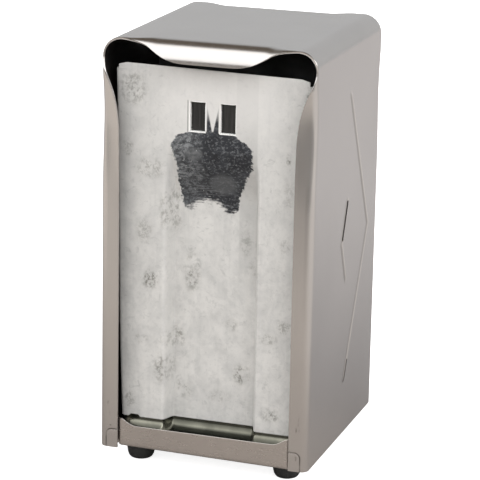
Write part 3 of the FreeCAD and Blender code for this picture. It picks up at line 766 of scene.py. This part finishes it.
def shell_ring(kind, where, sign):
    """One section of the wrap: kind is side, corner or top."""
    run = EDGE_RUN
    if kind == "side":
        run = curve_through(FLANGE_RUN, where)
    elif kind == "top":
        run = curve_through(LIP_RUN, abs(where))
    shape = end_bend(kind, where, run)
    rib_z = where if kind == "side" else TOP_Z

    def place(t, n):
        inset, y = bend_spot(t, n, shape)
        if kind == "side":
            rise = rib_height(INNER_RIB, y, where) + rib_height(OUTER_RIB, y, where)
            x = HALF_WIDTH - inset + rise
            if inset > BEND - 1.0:
                y += copysign(1.0, y) * tab_height(x, where)
            return (sign * x, y, where)
        if kind == "top":
            return (where, y, TOP_Z - inset)
        radius = CORNER - inset
        return (sign * (HALF_WIDTH - CORNER + radius * cos(where)), y,
                TOP_Z - CORNER + radius * sin(where))

    return sheet_ring(shell_columns(run, shape[2], rib_z), HALF_GAUGE, place)


# Where the shell's sections change pitch: above the corner tabs, where the flanges
# start to curve, and where the lip's straight middle ends.
TAB_LEVEL = 19.0
CURVE_LEVEL = 150.0
LIP_FLAT = 14.0


def shell_sections():
    """The sections in order from the left foot, over the top, to the right foot."""
    stops = (FLOOR_Z, TAB_LEVEL, *OUTER_SLIT[1], RIB_MID, *INNER_SLIT[1], CURVE_LEVEL,
             TOP_Z - CORNER)
    levels = stepped(stops, (22, 10, 8, 44, 3, 14, 24, 46))
    corner = steps(0.0, QUARTER, 15)[1:-1]
    half_top = stepped((0.0, LIP_FLAT, HALF_WIDTH - CORNER), (8, 40))
    left = [("side", z, -1) for z in levels] + [("corner", a, -1) for a in corner]
    right = [(kind, v, 1) for kind, v, _ in left[::-1]]
    top = [("top", -x, 1) for x in half_top[::-1]] + [("top", x, 1) for x in half_top[1:]]
    return left + top + right


def round_block(i0, i1, j0, j1):
    """The points (i, j) in order round a block of cells."""
    loop = [(i, j0) for i in range(i0, i1)] + [(i1, j) for j in range(j0, j1)]
    loop += [(i, j1) for i in range(i1, i0, -1)] + [(i0, j) for j in range(j1, j0, -1)]
    return loop


def slit_cells(sections, size):
    """Which cells the slits leave out, and the faces that line their edges."""
    open_cells = set()
    rims = []
    for rib, heights, half_width in (INNER_SLIT, OUTER_SLIT):
        start = ROUND_POINTS + CLUSTER_START[rib]
        first = start + CLUSTER.index(-half_width)
        last = start + CLUSTER.index(half_width)
        for sign in (-1, 1):
            rows = [i for i, (kind, z, side) in enumerate(sections)
                    if kind == "side" and side == sign and within(z, heights)]
            for i in rows[:-1]:
                for j in range(first, last):
                    open_cells.add((i, j))
                    open_cells.add((i, size - 2 - j))
            edge = round_block(rows[0], rows[-1], first, last)
            for here, after in zip(edge, edge[1:] + edge[:1]):
                corners = [here, after, (after[0], size - 1 - after[1]),
                           (here[0], size - 1 - here[1])]
                rims.append(tuple(i * size + j for i, j in corners))
    return open_cells, rims


def darken_inside(piece, size):
    """The inner side of the wrap takes the second material, painted dark as the shade inside the
    housing.
    """
    first = size // 2 + ROUND_POINTS
    piece.data.materials.append(SHELL_INSIDE_SHADE)
    for face in piece.data.polygons:
        if all(first <= v % size < size - ROUND_POINTS for v in face.vertices):
            face.material_index = 1


def build_shell():
    sections = shell_sections()
    rings = [shell_ring(*section) for section in sections]
    open_cells, rims = slit_cells(sections, len(rings[0]))
    points, faces = ring_surface(rings, lambda i, j: (i, j) in open_cells)
    piece = mesh_piece("housing_wrap", points, faces + rims, SHELL_STEEL, "housing")
    darken_inside(piece, len(rings[0]))
    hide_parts("housing_shell")


# ---- base tray
RAIL_RISE = [(0.0, 18.9), (30.5, 18.9), (32.8, 19.2), (35.0, 20.2), (37.2, 21.6), (39.5, 22.1)]
TRAY_TILT = 0.012
TRAY_BEND = 1.4
# The rail's ends curl back behind the flanges.
RAIL_END, RAIL_CURL, RAIL_CURL_BACK = 38.3, 2.0, 2.4
# The pan's upturned sides: level of the top edge, height of the wall, bend radius.
SIDE_TOP, SIDE_WALL, SIDE_ROUND = 16.0, 5.2, 1.6
SIDE_STATIONS = [0.0, 0.3, 1.5, 3.0, 4.5, 5.2, 5.6, 6.0, 6.6, 7.5, 9.0]


def tray_station(s, n, wall_top, curl, drop):
    """Place on the tray's section: s is the distance from the rail's top edge."""
    half = TRAY_HIGH.y - HALF_GAUGE - curl
    floor = TRAY_LOW.z + HALF_GAUGE + drop
    wall = wall_top - floor - TRAY_BEND
    arc = TRAY_BEND * QUARTER
    if s <= wall:
        return half + n, wall_top - s
    if s <= wall + arc:
        angle = (s - wall) / TRAY_BEND
        radius = TRAY_BEND + n
        return half - TRAY_BEND + radius * cos(angle), floor + TRAY_BEND - radius * sin(angle)
    return half - TRAY_BEND - (s - wall - arc), floor - n


def pan_ring(x):
    """The pan's section at x: down one rail, along the floor and up the other rail."""
    top = curve_through(RAIL_RISE, abs(x))
    drop = -TRAY_TILT * x
    curl = RAIL_CURL_BACK * smooth((abs(x) - RAIL_END) / RAIL_CURL)
    wall = top - (TRAY_LOW.z + HALF_GAUGE + drop) - TRAY_BEND
    bent = wall + TRAY_BEND * QUARTER
    run = bent + TRAY_HIGH.y - HALF_GAUGE - TRAY_BEND - curl
    near_top = [0.0, 0.15, 0.4, 0.9]
    s_values = near_top + steps(1.6, wall, 6) + steps(wall, bent, 7)[1:]
    s_values += steps(s_values[-1], run, 5)[1:]
    stations = s_values + [2 * run - s for s in s_values[::-1][1:]]

    def place(s, n):
        y, z = tray_station(min(s, 2 * run - s), n, top, curl, drop)
        return (x, -y if s <= run else y, z)

    return sheet_ring(stations, HALF_GAUGE, place)


def side_ring(sign, y):
    """The section at y of one upturned side of the pan."""
    outer = TRAY_HIGH.x - HALF_GAUGE

    def place(s, n):
        if s <= SIDE_WALL:
            return (sign * (outer + n), y, SIDE_TOP - s)
        angle = clamp((s - SIDE_WALL) / SIDE_ROUND, 0.0, QUARTER)
        past = max(0.0, s - SIDE_WALL - SIDE_ROUND * QUARTER)
        radius = SIDE_ROUND + n
        return (sign * (outer - SIDE_ROUND + radius * cos(angle) - past), y,
                SIDE_TOP - SIDE_WALL - radius * sin(angle))

    return sheet_ring(SIDE_STATIONS, HALF_GAUGE, place)


def build_tray():
    half = HALF_WIDTH - BEND
    points, faces = ring_surface([pan_ring(x) for x in steps(-half, half, 90)])
    end = TRAY_HIGH.y - GAUGE - BEND
    for sign in (-1, 1):
        more, extra = ring_surface([side_ring(sign, y) for y in steps(-end, end, 30)])
        start = len(points)
        points += more
        faces += [tuple(start + v for v in face) for face in extra]
    piece = mesh_piece("tray_pressing", points, faces, TRAY_STEEL, "housing")
    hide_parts("base_tray")


# ---- follower plates
PLATE_GAUGE = 0.7
PLATE_HALF_GAUGE = PLATE_GAUGE / 2
PLATE_LOW, PLATE_HIGH = box_mm("front_follower_plate")
PLATE_TOP = PLATE_HIGH.z
PLATE_FACE = 43.0
SOLE_Z = PLATE_LOW.z + PLATE_HALF_GAUGE
FOOT_REACH = -PLATE_LOW.y
CHANNEL_HALF = WALL_MID
CHANNEL_DEEP = 6.5
CHANNEL_WALL = 3.4
CHANNEL_TOP = 145.5
CHANNEL_FULL = 120.0
FOOT_BEND = 5.35
SIDE_BEND = 1.1
SIDE_FLANGE = 7.0
CORNER_CUT = 0.9
TOP_TILT = 0.65
RIM_DEPTH = 2.0
FLANGE_TOP_GAP = 3.5
# Columns past the channel spread out to the plate's tapered edge.
SPREAD_FROM, SPREAD_PAST, SPREAD_TO = 20.0, 22.0, 38.0
PLATE_EDGE = [(15.5, 39.8), (60.0, 41.4), (151.5, 42.7), (165.0, 43.1), (177.5, 43.4)]


def recess(x, z):
    """How far back the plate's face lies at (x, z)."""
    deep = smooth((CHANNEL_TOP - z) / (CHANNEL_TOP - CHANNEL_FULL))
    across = smooth((CHANNEL_HALF + CHANNEL_WALL / 2 - abs(x)) / CHANNEL_WALL)
    return CHANNEL_DEEP * deep * across


def plate_columns():
    """Stations from the plate's middle to its edge, and on round the side flange."""
    bend = SIDE_BEND * QUARTER
    half = [0.0, 1.6, WINDOW_X[0], 5.0, 6.8, 8.6, WINDOW_X[1], 12.5, 15.0, 17.0]
    half += steps(CHANNEL_HALF - CHANNEL_WALL / 2 - 0.6, CHANNEL_HALF + CHANNEL_WALL / 2 + 0.6, 12)
    half += steps(23.0, SPREAD_TO, 6)
    beyond = steps(0.0, bend, 6) + steps(bend + 0.8, bend + SIDE_FLANGE - SIDE_BEND, 4)
    return half, beyond


def plate_rows():
    """Heights down the flat part, and stations round the foot bend and along the foot."""
    stops = (PLATE_TOP, WINDOW_Z[1], WINDOW_Z[0], CHANNEL_FULL - 3, SOLE_Z + FOOT_BEND)
    flat = stepped(stops, (8, 7, 26, 34))
    arc = [("arc", a) for a in steps(0.0, QUARTER, 9)[1:]]
    foot = [("foot", u) for u in (0.35, 0.7, 1.0)]
    return [("flat", z) for z in flat] + arc + foot


def plate_surface():
    """Points on the plate's middle surface and its quads; front plate, row frame."""
    half, beyond = plate_columns()
    right = [(x, 0.0) for x in half] + [(None, e) for e in beyond[1:]]
    columns = [(-1, x, e) for x, e in right[:0:-1]] + [(1, x, e) for x, e in right]
    rows = plate_rows()
    points = []
    for kind, value in rows:
        z_here = value if kind == "flat" else SOLE_Z + FOOT_BEND
        edge = curve_through(PLATE_EDGE, z_here) - SIDE_BEND
        for sign, x, e in columns:
            turned = clamp(e / SIDE_BEND, 0.0, QUARTER) if x is None else 0.0
            past = max(0.0, e - SIDE_BEND * QUARTER)
            if x is None:
                across = edge + SIDE_BEND * sin(turned)
                back = SIDE_BEND * (1 - cos(turned)) + past
            else:
                spread = (edge - SPREAD_FROM) / (SPREAD_TO - SPREAD_FROM)
                across = x if x < SPREAD_PAST else SPREAD_FROM + (x - SPREAD_FROM) * spread
                back = recess(across, z_here)
            y = -PLATE_FACE + PLATE_HALF_GAUGE + back
            z = z_here
            if kind == "arc":
                y -= FOOT_BEND * (1 - cos(value))
                z = SOLE_Z + FOOT_BEND * (1 - sin(value))
            elif kind == "foot":
                start = y - FOOT_BEND
                y = start + (-FOOT_REACH - start) * value
                z = SOLE_Z
            near_top = smooth((z - WINDOW_Z[1] - 4) / 8)
            z += (TOP_TILT * (1 - sign * across / edge) - corner_drop(across, edge)) * near_top
            points.append((sign * across, y, z))
    width = len(columns)
    faces = []
    for i in range(len(rows) - 1):
        for j in range(width - 1):
            cell = (columns[j], columns[j + 1])
            if in_window(rows[i], rows[i + 1], cell) or past_edge(rows[i + 1], cell):
                continue
            a = i * width + j
            faces.append((a, a + width, a + width + 1, a + 1))
    for side in (-1, 1):
        add_window_rim(points, faces, rows, columns, side)
    return points, faces


def corner_drop(across, edge):
    """The plate's top corners are rounded off."""
    return CORNER_CUT * clamp((across - edge + CORNER_CUT + 0.4) / CORNER_CUT) ** 2


def add_window_rim(points, faces, rows, columns, side):
    """Turns the sheet back round one window, as a shallow folded edge."""
    width = len(columns)
    up = [i for i, (kind, z) in enumerate(rows) if kind == "flat" and within(z, WINDOW_Z)]
    across = [j for j, (sign, x, _) in enumerate(columns)
              if x is not None and sign * side * x > 0 and within(x, WINDOW_X)]
    top, bottom, left, right = up[0], up[-1], across[0], across[-1]
    front = [i * width + j for j, i in round_block(left, right, top, bottom)]
    back = len(points)
    points += [(points[i][0], points[i][1] + RIM_DEPTH, points[i][2]) for i in front]
    count = len(front)
    for k in range(count):
        m = (k + 1) % count
        faces.append((front[k], front[m], back + m, back + k))


def in_window(row, next_row, cell):
    if row[0] != "flat" or next_row[0] != "flat":
        return False
    if any(x is None for _, x, _ in cell):
        return False
    middle_x = sum(sign * x for sign, x, _ in cell) / 2
    middle_z = (row[1] + next_row[1]) / 2
    return WINDOW_X[0] < abs(middle_x) < WINDOW_X[1] and WINDOW_Z[0] < middle_z < WINDOW_Z[1]


def past_edge(row, cell):
    """Side flanges stop at the foot bend and just under the top corners."""
    flange = any(x is None for _, x, _ in cell)
    if not flange:
        return False
    if row[0] != "flat":
        return True
    return row[1] > PLATE_TOP - FLANGE_TOP_GAP


def thicken(piece, gauge_mm):
    """Gives a middle surface its sheet thickness and a small edge round."""
    solid = piece.modifiers.new("gauge", "SOLIDIFY")
    solid.thickness = gauge_mm * MM
    solid.offset = 0.0
    edge = piece.modifiers.new("edge", "BEVEL")
    edge.width = 0.1 * MM
    edge.segments = 2
    edge.limit_method = "ANGLE"
    edge.angle_limit = radians(60)
    apply_modifiers(piece)


def apply_modifiers(piece):
    graph = bpy.context.evaluated_depsgraph_get()
    mesh = bpy.data.meshes.new_from_object(piece.evaluated_get(graph))
    piece.modifiers.clear()
    piece.data = mesh


def build_plate(name, body, node, turn):
    points, faces = plate_surface()
    turned = [(turn * x, turn * y, z) for x, y, z in points]
    piece = mesh_piece(name, turned, faces, PLATE_ZINC, body)
    thicken(piece, PLATE_GAUGE)
    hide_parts(node)


# A spring's centre line from its upper end to its lower end, as (y, z).
SPRING_PATH = [(-41.4, 170.0), (-41.2, 160.0), (-40.3, 149.0), (-33.5, 139.0), (-14.0, 121.5),
               (-3.2, 112.0), (-0.7, 106.0), (-0.7, 97.0), (-0.7, 88.0), (-3.2, 81.5),
               (-14.0, 68.0), (-27.0, 50.0), (-33.8, 38.5), (-34.9, 33.0), (-35.1, 28.0)]
SPRING_ACROSS = [-13.0, -12.7, -8.0, 0.0, 8.0, 12.7, 13.0]
SPRING_HALF_GAUGE = 0.25
SPRING_EDGE = 0.08


def spring_ring(before, spot, after, turn):
    """One cross-section of a spring, square to its centre line."""
    y, z = spot
    way = Vector((after[0] - before[0], after[1] - before[1])).normalized()

    def place(s, n):
        return (turn * s, turn * (y + n * way.y), z - n * way.x)

    return sheet_ring(SPRING_ACROSS, SPRING_HALF_GAUGE, place, SPRING_EDGE)


def build_spring(name, node, turn):
    """Flat strip whose legs bow from the divider out to the plate's back."""
    along_path = [(float(i), y) for i, (y, _) in enumerate(SPRING_PATH)]
    up_path = [(float(i), z) for i, (_, z) in enumerate(SPRING_PATH)]
    spots = [(curve_through(along_path, u), curve_through(up_path, u))
             for u in steps(0.0, float(len(SPRING_PATH) - 1), 140)]
    rings = [spring_ring(before, spot, after, turn)
             for before, spot, after in zip(spots[:1] + spots, spots, spots[1:] + spots[-1:])]
    points, faces = ring_surface(rings)
    piece = mesh_piece(name, points, faces, SPRING_STEEL, "housing")
    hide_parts(node)
    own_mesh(piece)


# ---- feet
# Radius and height round a bumper, from its recess under the tip up to the tray.
FOOT_OUTLINE = [(1.6, 3.2), (2.6, 3.2), (2.75, 3.0), (2.75, 0.5), (3.1, 0.12), (3.6, 0.0),
                (4.2, 0.04), (4.7, 0.26), (5.2, 0.75), (5.65, 1.6), (5.95, 2.7), (6.15, 4.0),
                (6.25, 5.4), (6.25, 8.4), (6.1, 8.9), (5.8, 9.15)]
FOOT_SIDES = 56


def build_foot(node):
    low, high = box_mm(node)
    centre = (low + high) / 2
    points = []
    faces = []
    width = len(FOOT_OUTLINE)
    for k in range(FOOT_SIDES):
        angle = 2 * pi * k / FOOT_SIDES
        for radius, z in FOOT_OUTLINE:
            points.append((centre.x + radius * cos(angle),
                           centre.y + radius * sin(angle), z))
        here = k * width
        there = ((k + 1) % FOOT_SIDES) * width
        for j in range(width - 1):
            faces.append((here + j, there + j, there + j + 1, here + j + 1))
        faces.append((here + width - 1, there + width - 1, there, here))
    piece = mesh_piece(node + "_bumper", points, faces, RUBBER, "housing")
    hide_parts(node)


def dress_cad_nodes():
    # The divider and slide track take a steel painted dark for the shade inside the housing.
    looks = {"slide_track": INNER_STEEL_SHADE, "center_divider": INNER_STEEL_SHADE,
             "divider_rivets": RIVET_STEEL, "spring_rivets": RIVET_STEEL,
             "foot_washers": RIVET_STEEL, "foot_rivets": RIVET_STEEL}
    for node, material in looks.items():
        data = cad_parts[node].data
        data.materials.clear()
        data.materials.append(material)


# ---- floor, light, camera
FLOOR_GLOW = 0.80
FLOOR_REACH = 6.0


def build_floor():
    """Pale table top. Seen directly it is near white; in the metal it shows darker, with painted
    shade near and behind the object, a painted pool of light to the right and a painted dark area for
    the dim end of the room beyond its front edge."""
    n = Nodes("pale_floor")
    x, y, _ = n.axes()
    # Painted shade: the table is darker close to the object.
    far = n.remap(n.vector("LENGTH", n.coords)["Value"], 0.06, 0.52)
    # Painted shade: darker behind the object than in front.
    behind = n.remap(y, -0.12, 0.12)
    # Painted dark area standing for the dim room beyond the table's front edge.
    beyond = n.remap(y, -0.30, -0.56)
    dim_side = n.remap(x, -0.34, -0.06)
    dim = n.times(n.times(beyond, dim_side), 0.86)
    dim = n.math("MAXIMUM", dim, n.remap(y, -0.70, -0.85, 0.0, 0.70))
    # Painted pool of light on the table to the right.
    right_hand = n.times(n.remap(x, 0.12, 0.40), n.remap(y, 0.34, 0.16))
    back = n.mix(far, (0.31, 0.30, 0.30), (0.48, 0.465, 0.465))
    front = n.mix(far, (0.33, 0.30, 0.275), (0.62, 0.575, 0.53))
    table = n.mix(behind, front, back)
    table = n.mix(right_hand, table, (0.60, 0.575, 0.555))
    table = n.mix(dim, table, (0.10, 0.095, 0.09))
    seen = n.mix(n.noise(3.0, 2.0), (0.93, 0.93, 0.93), (0.96, 0.96, 0.96))
    directly = n.add("LightPath").outputs["Is Camera Ray"]
    n.color(n.mix(directly, table, seen))
    n.roughness(0.9)
    n.shader.inputs["Emission Color"].default_value = (1.0, 1.0, 1.0, 1.0)
    n.link(n.times(directly, FLOOR_GLOW), n.shader.inputs["Emission Strength"])
    mesh = bpy.data.meshes.new("floor")
    corners = [(x * FLOOR_REACH, y * FLOOR_REACH, 0) for x, y in ((-1, -1), (1, -1), (1, 1), (-1, 1))]
    mesh.from_pydata(corners, [], [(0, 1, 2, 3)])
    mesh.materials.append(n.material)
    add_object("floor", mesh)


class Sky(Tree):
    """Node tree of the studio's surroundings, against the direction looked in."""

    def __init__(self, tree):
        super().__init__(tree)
        self.coords = self.add("TexCoord").outputs["Generated"]
        self.x, self.y, self.z = self.axes()

    def ramp(self, stops):
        """Greys against the sine of the height above the horizon."""
        ramp = self.add("ValToRGB")
        self.link(self.z, ramp.inputs["Fac"])
        elements = ramp.color_ramp.elements
        while len(elements) < len(stops):
            elements.new(0.5)
        for stop, (position, color) in zip(elements, stops):
            stop.position = position
            stop.color = color + (1,)
        return ramp.outputs["Color"]


def grey(value, warmth=0.0):
    return (value * (1 + warmth), value, value * (1 - warmth))


# Brightness of the studio against the sine of the height above the horizon: a pale
# wall and a dark gap behind, a dim room and a large soft light in front.
BACK_WALL = [(0.0, grey(0.60, -0.01)), (0.57, grey(0.66, -0.02)), (0.70, grey(0.115, 0.22)),
             (0.95, grey(0.115, 0.22))]
FRONT_LIGHT = [(0.0, grey(0.20, 0.08)), (0.12, grey(0.20, 0.08)), (0.18, grey(1.9)),
               (1.0, grey(2.0))]
SIDE_LIGHT = grey(3.6)
BACKDROP = grey(1.0)


def build_world():
    world = bpy.data.worlds.new("studio")
    bpy.context.scene.world = world
    world.use_nodes = True
    sky = Sky(world.node_tree)
    background = world.node_tree.nodes["Background"]
    room = sky.mix(sky.remap(sky.y, -0.10, 0.12), sky.ramp(FRONT_LIGHT), sky.ramp(BACK_WALL))
    beside = sky.times(sky.remap(sky.x, 0.55, 0.70), sky.remap(sky.z, 0.20, 0.32))
    room = sky.mix(beside, room, SIDE_LIGHT)
    directly = sky.add("LightPath").outputs["Is Camera Ray"]
    sky.link(sky.mix(directly, room, BACKDROP), background.inputs["Color"])
    background.inputs["Strength"].default_value = 1.0


# Where the camera stands, in millimetres, and its yaw, pitch and roll in radians.
CAMERA_PLACE = (321.31, -974.42, 375.37)
CAMERA_TURN = (0.3196, 0.2677, 0.0191)
LENS = 180.051
SENSOR_WIDTH = 36.0


def build_camera():
    """Long-lens view from front right and a little above."""
    yaw, pitch, roll = CAMERA_TURN
    data = bpy.data.cameras.new("camera")
    data.sensor_width = SENSOR_WIDTH
    data.lens = LENS
    data.clip_start = 0.05
    camera = add_object("camera", data)
    forward = Vector((-sin(yaw) * cos(pitch), cos(yaw) * cos(pitch), -sin(pitch)))
    right = Vector((cos(yaw), sin(yaw), 0.0))
    up = right.cross(forward)
    rolled_right = cos(roll) * right + sin(roll) * up
    rolled_up = cos(roll) * up - sin(roll) * right
    camera.matrix_world = Matrix((rolled_right, rolled_up, -forward)).transposed().to_4x4()
    camera.location = Vector(CAMERA_PLACE) * MM
    bpy.context.scene.camera = camera


build_camera()
build_floor()
build_world()
bpy.context.scene.view_settings.view_transform = "Standard"
build_shell()
build_tray()
build_plate("front_plate", "front_follower", "front_follower_plate", 1)
build_plate("rear_plate", "rear_follower", "rear_follower_plate", -1)
build_spring("front_spring", "front_leaf_spring", 1)
build_spring("rear_spring", "rear_leaf_spring", -1)
for foot in ("foot_front_left", "foot_front_right", "foot_rear_left", "foot_rear_right"):
    build_foot(foot)
dress_cad_nodes()
